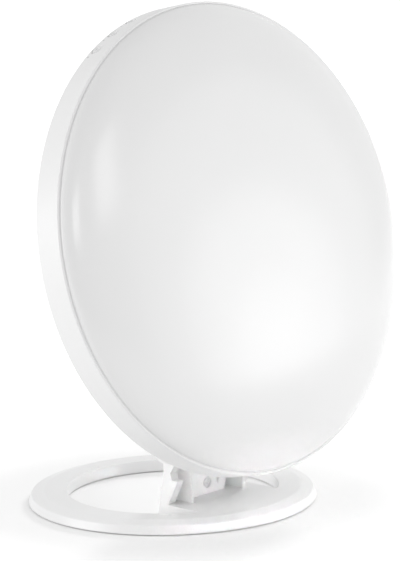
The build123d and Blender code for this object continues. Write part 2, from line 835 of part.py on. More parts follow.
with BuildPart() as rim:
    with BuildSketch(lamp_section):
        with BuildLine():
            FilletPolyline(
                (lamp_radius, -rim_depth),
                (lamp_radius, 0),
                (lamp_radius - lip_width, 0),
                (lamp_radius - lip_width, -lens_seat_depth),
                (ledge_radius, -lens_seat_depth),
                (ledge_radius, -lens_seat_depth - ledge_wall),
                (rim_inner, -lens_seat_depth - ledge_wall),
                (rim_inner, -rim_depth + back_flange_wall),
                (lamp_radius - back_flange_width, -rim_depth + back_flange_wall),
                (lamp_radius - back_flange_width, -rim_depth),
                radius=(1.5, lip_round, lip_round / 2, 0, 0, 0, 0, 0, 0, 0.3),
                close=True,
            )
        make_face()
    revolve(axis=lamp_axis)
    # posts for the rear screws, each with a rib to the wall
    rib_length = rim_inner - rear_screw_radius + 1
    for angle in rear_screw_angles:
        with BuildSketch(spoke_plane(rear_screw_radius, angle, back_plate_inner)):
            Circle(post_radius)
            with Locations((rib_length / 2, 0)):
                Rectangle(rib_length, 2)
        extrude(amount=rear_post_length)
    for x, y in rear_screw_places:
        cut_hole(lamp_point_plane(x, y, back_plate_inner, -1), screw_radius, 5)
    # two ribs that carry the key strip
    for angle in (strip_start, strip_start + strip_sweep):
        with BuildSketch(rim_plane(angle, strip_reach)):
            Rectangle(strip_width, 1.6)
        extrude(amount=rim_inner - strip_reach + 0.5)
    for angle in button_angles:
        cut_hole(rim_plane(angle, lamp_radius + 1), button_dish_radius, button_dish_depth + 1)
        cut_hole(rim_plane(angle, lamp_radius), button_radius + button_clearance, rim_wall + 1)
        cut_hole(
            rim_plane(angle + window_angle, lamp_radius + 1, window_depth), window_radius, rim_wall + 2
        )
rim.part.label = "rim"
export_step(rim.part, "parts/rim.step")

with BuildPart() as lens:
    with BuildSketch(lamp_section):
        with BuildLine():
            # a quarter of an oval as one curve, for the outer and the inner face of the dome
            for inset in (0.0, lens_wall):
                reach = lens_radius - inset
                rise = lens_rise - inset
                Bezier((reach, 0), (reach, rise * oval), (reach * oval, rise), (0, rise))
            Line((0, lens_rise), (0, lens_rise - lens_wall))
            Polyline(
                (lens_radius, 0),
                (lens_radius, -lens_seat_depth),
                (lens_radius - lens_wall, -lens_seat_depth),
                (lens_radius - lens_wall, 0),
            )
        make_face()
    revolve(axis=lamp_axis)
lens.part.label = "lens"
export_step(lens.part, "parts/lens.step")

with BuildPart() as diffusing_sheet:
    with BuildSketch(lamp.offset(-lens_seat_depth)):
        Circle(lens_radius - lens_wall - sheet_gap)
    extrude(amount=sheet_wall)
diffusing_sheet.part.label = "diffusing_sheet"
export_step(diffusing_sheet.part, "parts/diffusing_sheet.step")

led_places = [(0.0, 0.0)]
led_ring_count = 1 + int((tray_floor_radius - led_edge - led_first_ring) / led_ring_pitch)
for ring in range(led_ring_count):
    led_count = first_ring_led_count * (ring + 1)
    led_places += ring_places(led_first_ring + led_ring_pitch * ring, led_count, 180.0 / led_count)
tray_top = -lens_seat_depth - ledge_wall
tray_floor = -led_board_depth

with BuildPart() as reflector_tray:
    with BuildSketch(lamp_section):
        with BuildLine():
            Polyline(
                (0, tray_floor),
                (tray_floor_radius, tray_floor),
                (tray_flange_radius, tray_top - tray_wall),
                (tray_radius, tray_top - tray_wall),
                (tray_radius, tray_top),
                (tray_flange_radius - tray_wall / 2, tray_top),
                (tray_floor_radius - tray_wall / 2, tray_floor + tray_wall),
                (0, tray_floor + tray_wall),
                close=True,
            )
        make_face()
    revolve(axis=lamp_axis)
    with BuildSketch(lamp.offset(tray_floor)):
        with Locations(*led_places):
            Circle(led_hole_radius)
        with Locations(*board_screw_places):
            Circle(screw_radius + screw_fit)
    extrude(amount=tray_wall, mode=Mode.SUBTRACT)
reflector_tray.part.label = "reflector_tray"
export_step(reflector_tray.part, "parts/reflector_tray.step")

# ---------------------------------------------------------------- light source
with BuildPart() as led_board:
    with BuildSketch(lamp.offset(led_board_back)):
        Circle(led_board_radius)
        with Locations(*board_screw_places):
            Circle(screw_radius + screw_fit, mode=Mode.SUBTRACT)
    extrude(amount=led_board_wall)
led_board.part.label = "led_board"
export_step(led_board.part, "parts/led_board.step")

with BuildPart() as leds:
    with BuildSketch(lamp.offset(-led_board_depth)):
        with Locations(*led_places):
            Rectangle(led_length, led_width)
    extrude(amount=led_height)
leds.part.label = "leds"
export_step(leds.part, "parts/leds.step")

with BuildPart() as led_board_screws:
    for x, y in board_screw_places:
        head = lamp_point_plane(x, y, tray_floor + tray_wall + screw_head_height)
        add_screw(head, tray_wall + led_board_wall + 2.6)
led_board_screws.part.label = "led_board_screws"
export_step(led_board_screws.part, "parts/led_board_screws.step")

# ---------------------------------------------------------------- driver and inlet
with BuildPart() as driver_board:
    with BuildSketch(lamp.offset(driver_back)):
        with Locations((0, -(driver_low + driver_high) / 2)):
            Rectangle(driver_width, driver_low - driver_high)
        with Locations(*driver_post_places):
            Circle(screw_radius + screw_fit, mode=Mode.SUBTRACT)
    extrude(amount=driver_wall)
driver_board.part.label = "driver_board"
export_step(driver_board.part, "parts/driver_board.step")

with BuildPart() as driver_screws:
    for x, y in driver_post_places:
        head = lamp_point_plane(x, y, driver_back + driver_wall + screw_head_height)
        add_screw(head, driver_wall + 4)
driver_screws.part.label = "driver_screws"
export_step(driver_screws.part, "parts/driver_screws.step")

with BuildPart() as driver_coil:
    coil_place = (-driver_post_spread / 4, -driver_high - 2.8 * coil_radius)
    coil_plane = lamp_point_plane(*coil_place, driver_back - coil_height)
    with BuildSketch(coil_plane):
        Circle(coil_radius)
        Circle(coil_radius / 3, mode=Mode.SUBTRACT)
    extrude(amount=coil_height)
driver_coil.part.label = "driver_coil"
export_step(driver_coil.part, "parts/driver_coil.step")

with BuildPart() as driver_capacitors:
    for column in (1, 2):
        for row in (2, 3):
            x = column * capacitor_pitch
            y = -driver_high + (1 - row) * capacitor_pitch
            can_end = lamp_point_plane(x, y, driver_back - capacitor_height)
            add_post(can_end, capacitor_radius, capacitor_height)
driver_capacitors.part.label = "driver_capacitors"
export_step(driver_capacitors.part, "parts/driver_capacitors.step")

with BuildPart() as driver_chips:
    with BuildSketch(lamp.offset(driver_back - chip_height)):
        with Locations((0, -(driver_low + driver_high) / 2)):
            with GridLocations(chip_pitch, chip_pitch, 4, 1):
                Rectangle(chip_length, chip_width)
    extrude(amount=chip_height)
driver_chips.part.label = "driver_chips"
export_step(driver_chips.part, "parts/driver_chips.step")

with BuildPart() as dc_inlet:
    with BuildSketch(lamp_point_plane(0, -inlet_low, housing_face)):
        Circle(inlet_nose_radius)
    extrude(amount=housing_wall)
    with BuildSketch(lamp_point_plane(0, -inlet_low, housing_floor)):
        Rectangle(inlet_body, inlet_body + 2)
    extrude(amount=driver_post_length)
    cut_hole(lamp_point_plane(0, -inlet_low, housing_face, -1), inlet_bore_radius, inlet_bore_depth)
dc_inlet.part.label = "dc_inlet"
export_step(dc_inlet.part, "parts/dc_inlet.step")

with BuildPart() as dc_inlet_pin:
    pin_foot = lamp_point_plane(0, -inlet_low, housing_face + inlet_bore_depth, -1)
    add_post(pin_foot, inlet_pin_radius, inlet_pin_length)
dc_inlet_pin.part.label = "dc_inlet_pin"
export_step(dc_inlet_pin.part, "parts/dc_inlet_pin.step")

# ---------------------------------------------------------------- buttons
switch_top = strip_reach + switch_height
flange_top = rim_inner - button_seat_gap
plunger_top = switch_top + button_travel + plunger_spare

with BuildPart() as key_strip:
    with BuildSketch(lamp.offset(-button_depth - strip_width / 2)):
        with BuildLine():
            CenterArc((0, 0), strip_reach, strip_start, strip_sweep)
            CenterArc((0, 0), strip_reach - strip_wall, strip_start, strip_sweep)
            for angle in (strip_start, strip_start + strip_sweep):
                along = Vector(cos(radians(angle)), sin(radians(angle)))
                Line(along * strip_reach, along * (strip_reach - strip_wall))
        make_face()
    extrude(amount=strip_width)
key_strip.part.label = "key_strip"
export_step(key_strip.part, "parts/key_strip.step")

with BuildPart() as key_switches:
    for angle in button_angles:
        with BuildSketch(rim_plane(angle, strip_reach + strip_curve_gap)):
            Rectangle(switch_body, switch_body)
        extrude(amount=switch_height - strip_curve_gap)
        plunger_room = plunger_radius + running_clearance
        cut_hole(rim_plane(angle, switch_top), plunger_room, plunger_length)
key_switches.part.label = "key_switches"
export_step(key_switches.part, "parts/key_switches.step")

with BuildPart() as indicator_leds:
    for angle in button_angles:
        with BuildSketch(rim_plane(angle + window_angle, strip_reach + strip_curve_gap, window_depth)):
            Rectangle(indicator_size, indicator_size)
        extrude(amount=indicator_height)
indicator_leds.part.label = "indicator_leds"
export_step(indicator_leds.part, "parts/indicator_leds.step")

with BuildPart() as indicator_windows:
    for angle in button_angles:
        window_top = rim_plane(angle + window_angle, lamp_radius - 0.05, window_depth)
        with BuildSketch(window_top):
            Circle(window_radius)
        extrude(amount=-window_length)
indicator_windows.part.label = "indicator_windows"
export_step(indicator_windows.part, "parts/indicator_windows.step")

for name, angle in zip(button_names, button_angles):
    with BuildPart() as button:
        add_post(rim_plane(angle, flange_top), button_radius, lamp_radius - 0.1 - flange_top)
        fillet(button.edges().filter_by(GeomType.CIRCLE).group_by(SortBy.DISTANCE)[0], 0.3)
        with BuildSketch(rim_plane(angle, flange_top)):
            Circle(button_flange_radius)
        extrude(amount=-button_flange_wall)
        with BuildSketch(rim_plane(angle, flange_top - button_flange_wall)):
            Circle(button_stem_radius)
        extrude(amount=-(flange_top - button_flange_wall - plunger_top))
    button.part.label = f"{name}_button"
    export_step(button.part, f"parts/{name}_button.step")
    with BuildPart() as plunger:
        add_post(rim_plane(angle, plunger_top - plunger_length), plunger_radius, plunger_length)
    plunger.part.label = f"{name}_plunger"
    export_step(plunger.part, f"parts/{name}_plunger.step")
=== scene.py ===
from math import cos, radians, sin

import bpy
import numpy as np
from mathutils import Matrix, Vector


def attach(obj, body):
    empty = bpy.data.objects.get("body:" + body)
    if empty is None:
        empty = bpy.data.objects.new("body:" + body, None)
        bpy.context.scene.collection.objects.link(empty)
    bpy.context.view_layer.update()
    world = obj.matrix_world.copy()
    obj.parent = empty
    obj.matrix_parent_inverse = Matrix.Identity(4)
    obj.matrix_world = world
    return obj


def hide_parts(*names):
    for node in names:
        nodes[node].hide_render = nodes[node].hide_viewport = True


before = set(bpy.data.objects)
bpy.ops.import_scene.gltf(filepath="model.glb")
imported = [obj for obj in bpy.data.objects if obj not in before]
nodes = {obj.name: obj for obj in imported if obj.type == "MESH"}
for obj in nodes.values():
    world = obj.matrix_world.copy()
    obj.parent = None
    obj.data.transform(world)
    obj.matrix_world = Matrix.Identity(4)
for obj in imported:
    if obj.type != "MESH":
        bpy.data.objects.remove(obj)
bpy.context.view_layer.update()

# ---------------------------------------------------------------------------
# The table that the lamp stands on. A large board with a matt white lacquer,
# which takes a soft shadow and fades into the white room behind it.
# ---------------------------------------------------------------------------


def linear(hex_colour):
    """An sRGB hex colour as linear red, green, blue and alpha: each channel is
    divided by 12.92 when small, and otherwise raised to 2.4 after the sRGB offset."""
    channels = [int(hex_colour[i : i + 2], 16) / 255 for i in (0, 2, 4)]
    return [c / 12.92 if c <= 0.04045 else ((c + 0.055) / 1.055) ** 2.4 for c in channels] + [1.0]


def add_node(finish, kind, settings={}, links={}):
    """Adds one node to a finish or to the room. A setting goes on the socket of that name
    or number, or on the node itself, and a link joins a socket to (node, output)."""
    node = finish.node_tree.nodes.new(kind)
    for name, value in settings.items():
        if isinstance(name, int) or name in node.inputs:
            node.inputs[name].default_value = value
        else:
            setattr(node, name, value)
    for name, (source, output) in links.items():
        finish.node_tree.links.new(source.outputs[output], node.inputs[name])
    return node


def new_finish(name):
    """An empty node material with that name."""
    finish = bpy.data.materials.new(name)
    finish.use_nodes = True
    finish.node_tree.nodes.clear()
    return finish


table_size = 12.0
table_colour = "F0F0F0"
glow_reach = (0.12, 0.235)
glow_levels = (0.15, 0.46)

# A painted glow on the lacquer, which only the camera and glossy rays see, rises away
# from the lamp, so the shadow stays and the table beyond it is plain white.
lacquer = new_finish("matt_white_table_lacquer_and_painted_glow")
ray = add_node(lacquer, "ShaderNodeLightPath")
seen = add_node(
    lacquer, "ShaderNodeMath", {"operation": "MAXIMUM"},
    {0: (ray, "Is Camera Ray"), 1: (ray, "Is Glossy Ray")},
)
table_place = add_node(lacquer, "ShaderNodeTexCoord")
away_from_lamp = add_node(
    lacquer, "ShaderNodeVectorMath", {"operation": "LENGTH"}, {0: (table_place, "Object")},
)
rise = add_node(
    lacquer, "ShaderNodeMapRange",
    {
        "From Min": glow_reach[0], "From Max": glow_reach[1],
        "To Min": glow_levels[0], "To Max": glow_levels[1],
    },
    {"Value": (away_from_lamp, "Value")},
)
glow_level = add_node(lacquer, "ShaderNodeMath", {"operation": "MULTIPLY"}, {0: (seen, 0), 1: (rise, 0)})
glow = add_node(lacquer, "ShaderNodeEmission", {}, {"Strength": (glow_level, 0)})
matt = add_node(lacquer, "ShaderNodeBsdfDiffuse", {"Color": linear(table_colour)})
both = add_node(lacquer, "ShaderNodeAddShader", {}, {0: (matt, 0), 1: (glow, 0)})
add_node(lacquer, "ShaderNodeOutputMaterial", {}, {"Surface": (both, 0)})

half = table_size / 2
board = bpy.data.meshes.new("table_top")
board_corners = [(-half, -half, 0), (half, -half, 0), (half, half, 0), (-half, half, 0)]
board.from_pydata(board_corners, [], [(0, 1, 2, 3)])
board.materials.append(lacquer)
table_top = bpy.data.objects.new("table_top", board)
bpy.context.scene.collection.objects.link(table_top)

# ---------------------------------------------------------------------------
# The room: an even white all round, and the soft boxes in it. One at the right throws
# the shadow and one at the left lights the rim. Those at the front give the lens its glow
# and two pale window streaks, and a small low one lights the hinge.
# ---------------------------------------------------------------------------

room_level = 0.655

room = bpy.data.worlds.new("white_room")
room.use_nodes = True
room.node_tree.nodes.clear()
room_ray = add_node(room, "ShaderNodeLightPath")
direct = add_node(
    room, "ShaderNodeMath", {"operation": "MAXIMUM"},
    {0: (room_ray, "Is Camera Ray"), 1: (room_ray, "Is Transmission Ray")},
)
room_white = add_node(room, "ShaderNodeBackground", {"Color": (1, 1, 1, 1), "Strength": 1.0})
room_light = add_node(room, "ShaderNodeBackground", {"Color": (1, 1, 1, 1), "Strength": room_level})
room_mix = add_node(room, "ShaderNodeMixShader", {}, {0: (direct, 0), 1: (room_light, 0), 2: (room_white, 0)})
add_node(room, "ShaderNodeOutputWorld", {}, {"Surface": (room_mix, 0)})
bpy.context.scene.world = room


def hang_lamp(name, aim, azimuth, height_angle, distance, width, height, watts, shows=True, spread=180):
    """A soft box that faces a point. It stands that far from the point, at an azimuth
    measured from -Y towards +X and at an angle above the table. A lamp that doesn't show
    lights the pieces, but isn't reflected in them. The spread is the width of its beam."""
    a, e = radians(azimuth), radians(height_angle)
    out = Vector((sin(a) * cos(e), -cos(a) * cos(e), sin(e)))
    light = bpy.data.lights.new(name, "AREA")
    light.shape = "RECTANGLE" if "window" in name else "ELLIPSE"
    light.size, light.size_y = width, height
    light.energy = watts
    light.spread = radians(spread)
    soft_box = bpy.data.objects.new(name, light)
    soft_box.location = Vector(aim) + out * distance
    soft_box.rotation_euler = out.to_track_quat("Z", "Y").to_euler()
    soft_box.visible_glossy = shows
    bpy.context.scene.collection.objects.link(soft_box)


glow_aim = (0.008, -0.094, 0.126)

hang_lamp("right_soft_box", (0, 0, 0.05), 105, 27, 2.2, 0.7, 0.5, 15.5, shows=False)
hang_lamp("left_soft_box", (-0.15, -0.03, 0.15), -122, 12, 1.8, 1.2, 1.0, 10.2)
hang_lamp("small_front_soft_box", glow_aim, 44.5, 0, 1.6, 0.35, 0.35, 0.35)
hang_lamp("front_soft_box", glow_aim, 44.5, 1, 1.6, 0.75, 0.75, 2.0)
hang_lamp("wide_front_soft_box", glow_aim, 45, 5, 1.6, 1.3, 1.3, 2.9)
hang_lamp("window_pane", (-0.11, -0.058, 0.239), 21, 23, 1.8, 0.30, 0.42, 1.1)
hang_lamp("window_slot", (-0.136, -0.057, 0.218), -9, 24, 1.8, 0.44, 0.36, 1.9)
hang_lamp("low_gridded_box", (0.005, -0.055, 0.012), -31, 4, 1.6, 0.14, 0.03, 0.0085, shows=False, spread=3)

# ---------------------------------------------------------------------------
# The camera: a long lens a little above the middle of the lamp, to its left.
# ---------------------------------------------------------------------------

view_azimuth = radians(-46.165)
view_height = radians(12.059)
view_roll = radians(-1.538)
view_distance = 2.78164
view_target = Vector((0.001864, -0.027866, 0.147168))
view_focal_pixels = 4374.98
image_height_pixels = 561
sensor_size = 36

away = Vector((sin(view_azimuth) * cos(view_height), -cos(view_azimuth) * cos(view_height), sin(view_height)))
level_right = (-away).cross(Vector((0, 0, 1))).normalized()
level_up = level_right.cross(-away)
right = cos(view_roll) * level_right + sin(view_roll) * level_up
up = -sin(view_roll) * level_right + cos(view_roll) * level_up
camera = bpy.data.objects.new("camera", bpy.data.cameras.new("camera"))
camera.data.sensor_width = sensor_size
camera.data.lens = view_focal_pixels * sensor_size / image_height_pixels
camera.data.clip_start, camera.data.clip_end = 0.1, 50
turned = Matrix((right, up, away)).transposed().to_4x4()
camera.matrix_world = Matrix.Translation(view_target + away * view_distance) @ turned
bpy.context.scene.collection.objects.link(camera)
bpy.context.scene.camera = camera
bpy.context.scene.view_settings.view_transform = "Standard"

# ---------------------------------------------------------------------------
# Base ring, hinge bracket with its front cover and hinge caps, rim, lamp bracket and
# the three keys. Injection moulded in white ABS from polished steel tools, so they
# are glossy; of the screws that hold them, only the cover's shows in front.
# ---------------------------------------------------------------------------


def grained_finish(name, light, dark, drift, grain, rough, height, edge=0.0, shader={}):
    """A surface with two sizes of pattern, in metres. Its colour wanders between two hex
    colours over the drift size. Its roughness, between a low and a high value, and its
    height follow the grain size. An edge above 0 rounds the corners' shading by that radius."""
    finish = new_finish(name)
    place = add_node(finish, "ShaderNodeTexCoord")
    wander = add_node(
        finish, "ShaderNodeTexNoise", {"Scale": 1 / drift, "Detail": 1.0, "Roughness": 0.4},
        {"Vector": (place, "Object")},
    )
    fine = add_node(
        finish, "ShaderNodeTexNoise", {"Scale": 1 / grain, "Detail": 2.0, "Roughness": 0.5},
        {"Vector": (place, "Object")},
    )
    tint = add_node(
        finish, "ShaderNodeMix", {"data_type": "RGBA", 6: linear(light), 7: linear(dark)},
        {0: (wander, "Fac")},
    )
    gloss = add_node(
        finish, "ShaderNodeMapRange",
        {"From Min": 0.3, "From Max": 0.7, "To Min": rough[0], "To Max": rough[1]},
        {"Value": (fine, "Fac")},
    )
    relief = add_node(
        finish, "ShaderNodeBump", {"Strength": 0.5, "Distance": height}, {"Height": (fine, "Fac")},
    )
    if edge:
        corner = add_node(finish, "ShaderNodeBevel", {"samples": 4, "Radius": edge})
        finish.node_tree.links.new(corner.outputs[0], relief.inputs["Normal"])
    surface = add_node(
        finish, "ShaderNodeBsdfPrincipled", shader,
        {"Base Color": (tint, 2), "Roughness": (gloss, 0), "Normal": (relief, 0)},
    )
    add_node(finish, "ShaderNodeOutputMaterial", {}, {"Surface": (surface, 0)})
    return finish


def dress(finish, *names):
    """Gives each of those CAD nodes one finish in place of its own."""
    for name in names:
        nodes[name].data.materials.clear()
        nodes[name].data.materials.append(finish)


# Polished ABS: a clean white with a slight orange peel of about 2 mm, whose white
# changes a little over some 40 mm, where the plastic cooled faster or slower.
polished_abs = grained_finish(
    "polished_white_abs", "F7F7F7", "F4F4F4",
    drift=0.040, grain=0.0022, rough=(0.28, 0.33), height=0.000003,
    shader={"IOR": 1.54},
)
dress(
    polished_abs, "base_ring", "hinge_bracket", "bracket_cover", "hinge_cap_left", "hinge_cap_right",
    "rim", "lamp_bracket", "level_button", "power_button", "timer_button",
)

# ---------------------------------------------------------------------------
# Key symbols: level, power and timer. Pad-printed in light grey ink on the three key
# caps: a small ring with rays, a broken ring with a bar, and a clock face.
# ---------------------------------------------------------------------------

lean = radians(13.8)
lamp_middle = np.array([0.0, -0.0600, 0.1795])
across = np.array([1.0, 0.0, 0.0])
along = np.array([0.0, sin(lean), cos(lean)])
forward = np.array([0.0, -cos(lean), sin(lean)])

key_top = 0.1499
key_depth = 0.0140
key_angles = {"level": 104.5, "power": 111.5, "timer": 118.5}
ink_height = 0.00003
stroke = 0.00022

# Pad-printing ink: satin, a little thinner and lighter in patches of half a millimetre.
ink = grained_finish(
    "grey_pad_printing_ink", "B4B5B6", "C4C5C6",
    drift=0.0005, grain=0.0003, rough=(0.40, 0.50), height=0.000004,
    shader={"IOR": 1.5},
)


def arc_strip(radius, start, end, count):
    """A curved stroke of ink: pairs of points at evenly spaced angles on two circles, half a
    stroke inside and outside the radius."""
    turn = np.radians(np.linspace(start, end, count))
    ring = np.stack([np.cos(turn), np.sin(turn)], 1)
    return np.stack([ring * (radius - stroke / 2), ring * (radius + stroke / 2)], 1)


def bar_strip(start, end):
    """A straight stroke of ink: a pair of points at each end, half a stroke to each side."""
    start, end = np.array(start), np.array(end)
    side = np.array([start[1] - end[1], end[0] - start[0]])
    side = side / np.linalg.norm(side) * stroke / 2
    return np.array([[start + side, start - side], [end + side, end - side]])


def print_symbol(name, strips):
    """Lays flat strokes on one key cap. Each stroke is a closed slab: its upper and lower
    sheets are quads between neighbouring pairs, with a wall of quads round them."""
    angle = radians(key_angles[name])
    out = across * np.cos(angle) + along * np.sin(angle)
    sideways = across * np.sin(angle) - along * np.cos(angle)
    origin = lamp_middle + out * key_top - forward * key_depth
    corners, quads, first = [], [], 0
    for strip in strips:
        flat = strip.reshape(-1, 2)
        sheet = origin + flat[:, :1] * sideways + flat[:, 1:] * forward
        low = len(flat)
        step = np.arange(len(strip) - 1) * 2 + first
        top = np.stack([step, step + 1, step + 3, step + 2], 1)
        wall_left = np.stack([step, step + 2, step + 2 + low, step + low], 1)
        wall_right = np.stack([step + 1, step + 1 + low, step + 3 + low, step + 3], 1)
        last = first + low - 2
        near_end = [first, first + low, first + 1 + low, first + 1]
        far_end = [last, last + 1, last + 1 + low, last + low]
        quads += [top, top[:, ::-1] + low, wall_left, wall_right, np.array([near_end, far_end])]
        corners += [sheet + out * ink_height, sheet - out * ink_height]
        first += 2 * low
    mesh = bpy.data.meshes.new(f"{name}_symbol")
    mesh.from_pydata(np.concatenate(corners).tolist(), [], np.concatenate(quads).tolist())
    mesh.materials.append(ink)
    symbol = bpy.data.objects.new(f"{name}_symbol", mesh)
    bpy.context.scene.collection.objects.link(symbol)
    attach(symbol, f"{name}_key")


sun_radius = 0.00062
ray_start, ray_end = 0.00105, 0.00155
broken_ring_radius = 0.00120
power_bar = ((0, 0.0003), (0, 0.0016))
clock_radius = 0.00125
clock_middle = (0, 0)
clock_hands = ((0, 0.00085), (0.0006, -0.00035))

ray_turns = np.radians(np.arange(0, 360, 45))
ray_ways = np.stack([np.cos(ray_turns), np.sin(ray_turns)], 1)
rays = [bar_strip(way * ray_start, way * ray_end) for way in ray_ways]
print_symbol("level", [arc_strip(sun_radius, 0, 360, 33)] + rays)
print_symbol("power", [arc_strip(broken_ring_radius, 125, 415, 33), bar_strip(*power_bar)])
hands = [bar_strip(clock_middle, tip) for tip in clock_hands]
print_symbol("timer", [arc_strip(clock_radius, 0, 360, 41)] + hands)

# ---------------------------------------------------------------------------
# The lens: a shallow dish of opal acrylic, pressed hot over a polished mould. Its
# skirt snaps behind the rim's lip, and a fine shadow line stays between the two.
# ---------------------------------------------------------------------------

lens_radius = 0.1480
lens_rise = 0.0228
lens_wall = 0.0020
lens_skirt = 0.0060
shoulder_drop = 0.0001
shoulder_reach = 0.14842
shoulder_edge = 0.0003
lens_steps = 56
lens_sides = 256
lens_crease = 40

# Opal acrylic: milky white with a smooth but not mirror-like skin, so lamps show in it
# as soft glows. The milkiness varies very little, over about 50 mm.
opal = grained_finish(
    "opal_acrylic", "F4F4F4", "F1F1F1",
    drift=0.050, grain=0.0030, rough=(0.46, 0.50), height=0.000004,
    shader={"IOR": 1.49, "Coat Weight": 1.0, "Coat Roughness": 0.17, "Coat IOR": 1.49},
)


def turned_piece(name, radii, heights, count, sharp_angle):
    """A piece turned about the lamp's axis. The profile runs from the axis in front to the
    axis behind; each of its points but the two ends is carried round a circle, neighbouring
    circles are joined by quads, and each end is one point joined to its circle by triangles."""
    turn = np.linspace(0, 2 * np.pi, count, endpoint=False)
    spoke = np.cos(turn)[:, None] * across + np.sin(turn)[:, None] * along
    rings = radii[1:-1, None, None] * spoke[None] + heights[1:-1, None, None] * forward
    poles = heights[[0, -1], None] * forward
    points = np.concatenate([rings.reshape(-1, 3), poles]) + lamp_middle
    here = np.arange(count)
    after = (here + 1) % count
    ring = np.arange(len(radii) - 3)[:, None] * count
    quads = np.stack([ring + here, ring + count + here, ring + count + after, ring + after], 2).reshape(-1, 4)
    last = (len(radii) - 3) * count
    front = np.stack([np.full(count, len(points) - 2), here, after], 1)
    rear = np.stack([np.full(count, len(points) - 1), last + after, last + here], 1)
    mesh = bpy.data.meshes.new(name)
    mesh.from_pydata(points.tolist(), [], quads.tolist() + front.tolist() + rear.tolist())
    mesh.polygons.foreach_set("use_smooth", np.ones(len(mesh.polygons), bool))
    mesh.set_sharp_from_angle(angle=radians(sharp_angle))
    piece = bpy.data.objects.new(name, mesh)
    bpy.context.scene.collection.objects.link(piece)
    return piece


# The dish is half an oval outside and a smaller one inside, with a skirt between them.
sweep = np.linspace(0, np.pi / 2, lens_steps)
inner_radius, inner_rise = lens_radius - lens_wall, lens_rise - lens_wall
skirt_r = np.array([lens_radius, shoulder_reach, shoulder_reach, inner_radius])
skirt_w = np.array([-shoulder_drop, -shoulder_drop - shoulder_edge, -lens_skirt, -lens_skirt])
lens_dish = turned_piece(
    "lens_dish",
    np.concatenate([lens_radius * np.sin(sweep), skirt_r, inner_radius * np.sin(sweep[::-1])]),
    np.concatenate([lens_rise * np.cos(sweep), skirt_w, inner_rise * np.cos(sweep[::-1])]),
    lens_sides, lens_crease,
)
lens_dish.data.materials.append(opal)
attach(lens_dish, "lamp")
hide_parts("lens")

# ---------------------------------------------------------------------------
# Rear shell, driver housing, the two base covers and the strip behind the keys.
# Injection moulded in white ABS against a spark-eroded tool, so they are satin and
# finely grained; they are held by small cross-head screws.
# ---------------------------------------------------------------------------

# Spark-textured ABS: rounded pits of about 0.3 mm, drawn at 0.7 mm so that they show.
spark_abs = grained_finish(
    "spark_textured_white_abs", "F3F3F3", "EDEDED",
    drift=0.035, grain=0.0007, rough=(0.46, 0.58), height=0.00005,
    shader={"IOR": 1.54},
)
dress(spark_abs, "rear_shell", "driver_housing", "base_cover", "tongue_cover", "key_strip")

# ---------------------------------------------------------------------------
# The non-slip ring under the base: a flat moulded ring of grey silicone rubber,
# pressed into its recess. Matt, with a dusty bloom.
# ---------------------------------------------------------------------------

# Silicone rubber: fine matt skin, with dust that gathers in patches of about 6 mm.
silicone = grained_finish(
    "moulded_grey_silicone_rubber", "66686A", "77797B",
    drift=0.006, grain=0.0005, rough=(0.70, 0.86), height=0.00003,
    shader={"IOR": 1.41, "Sheen Weight": 0.2, "Sheen Roughness": 0.5},
)
dress(silicone, "non_slip_ring")

# ---------------------------------------------------------------------------
# Screws, pivot pin, nut and spring washer: cold-formed steel with bright zinc plate, but
# for the front cover's screw, which is lacquered white. The ballast ring in the base is
# plain rolled steel with a thin coat of oil.
# ---------------------------------------------------------------------------

# Zinc plate: pale grey metal, cloudy in patches of about 2 mm, with crystals of 0.4 mm.
zinc = grained_finish(
    "bright_zinc_plated_steel", "C9CCCF", "B4B8BC",
    drift=0.0020, grain=0.0004, rough=(0.28, 0.38), height=0.000006,
    edge=0.0001, shader={"Metallic": 1.0},
)
dress(
    zinc, "base_screws", "bracket_screws", "hinge_pin", "spring_washer", "hinge_nut",
    "lamp_bracket_screws", "rear_shell_screws", "housing_screws", "led_board_screws", "driver_screws",
)

# White lacquer on that screw: thin, with an orange peel of half a millimetre.
screw_lacquer = grained_finish(
    "white_lacquered_steel", "EDEDED", "E6E6E6",
    drift=0.0030, grain=0.0005, rough=(0.30, 0.38), height=0.000004,
    shader={"IOR": 1.5},
)
dress(screw_lacquer, "bracket_cover_screw")

# Rolled steel: darker, with stains of about 2 cm and a grain of about 1 mm.
rolled_steel = grained_finish(
    "oiled_rolled_steel", "8B8D8F", "75777A",
    drift=0.018, grain=0.0010, rough=(0.30, 0.48), height=0.00001,
    shader={"Metallic": 1.0},
)
dress(rolled_steel, "base_ballast")

# ---------------------------------------------------------------------------
# Friction washers in the hinge and the plungers behind the keys: natural nylon,
# stamped and moulded. Slightly yellow and waxy.
# ---------------------------------------------------------------------------

# Nylon: light shines a millimetre into it, and its skin has flow marks of about 0.6 mm.
nylon = grained_finish(
    "natural_nylon", "E9E6DC", "DFDBCF",
    drift=0.006, grain=0.0006, rough=(0.38, 0.50), height=0.000008,
    shader={"IOR": 1.53, "Subsurface Weight": 0.15, "Subsurface Scale": 0.001},
)
dress(nylon, "friction_washers", "level_plunger", "power_plunger", "timer_plunger")

# ---------------------------------------------------------------------------
# Light unit: a reflector tray pressed in bright white polycarbonate, a diffusing
# sheet of matt polyester in front, and behind them an aluminium board with white
# solder mask that carries rings of LEDs under yellow phosphor.
# ---------------------------------------------------------------------------

# Reflector polycarbonate: the brightest white here, even and satin.
reflector_white = grained_finish(
    "reflector_white_polycarbonate", "F8F8F8", "F5F5F6",
    drift=0.030, grain=0.0010, rough=(0.40, 0.48), height=0.00001,
    shader={"IOR": 1.58},
)
dress(reflector_white, "reflector_tray")

